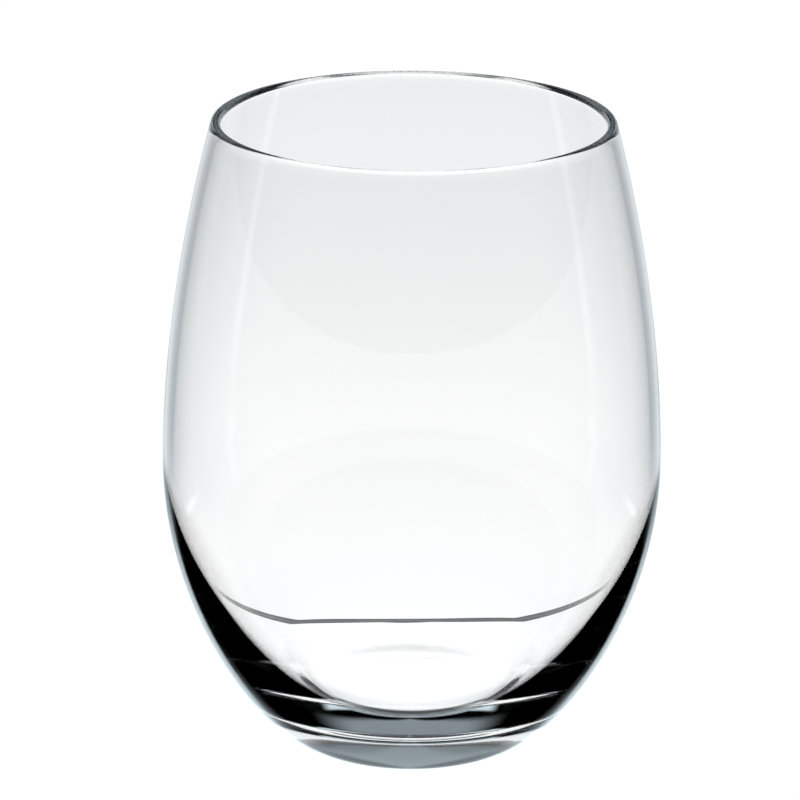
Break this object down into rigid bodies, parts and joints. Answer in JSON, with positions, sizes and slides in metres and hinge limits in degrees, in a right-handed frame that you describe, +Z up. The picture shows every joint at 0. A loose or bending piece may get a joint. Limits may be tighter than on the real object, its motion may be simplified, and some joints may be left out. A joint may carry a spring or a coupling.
{
  "type": "stemless wine glass",
  "caption": "Clear stemless wine glass: a thin tapering bowl with a rounded rim that thickens into a heavy solid base on a narrow foot ring.",
  "frame": {"origin": "centre of the plane that the foot ring stands on", "axes": "+Z up along the axis of the glass, towards the rim; +X and +Y are alike, because the glass is turned about Z"},
  "size_m": [0.0928, 0.0928, 0.12],
  "materials": {
    "glass": "clear, polished"
  },
  "bodies": {
    "root": {"rim": "glass", "bowl": "glass", "heel": "glass", "base": "glass", "foot_ring": "glass"}
  },
  "joints": []
}
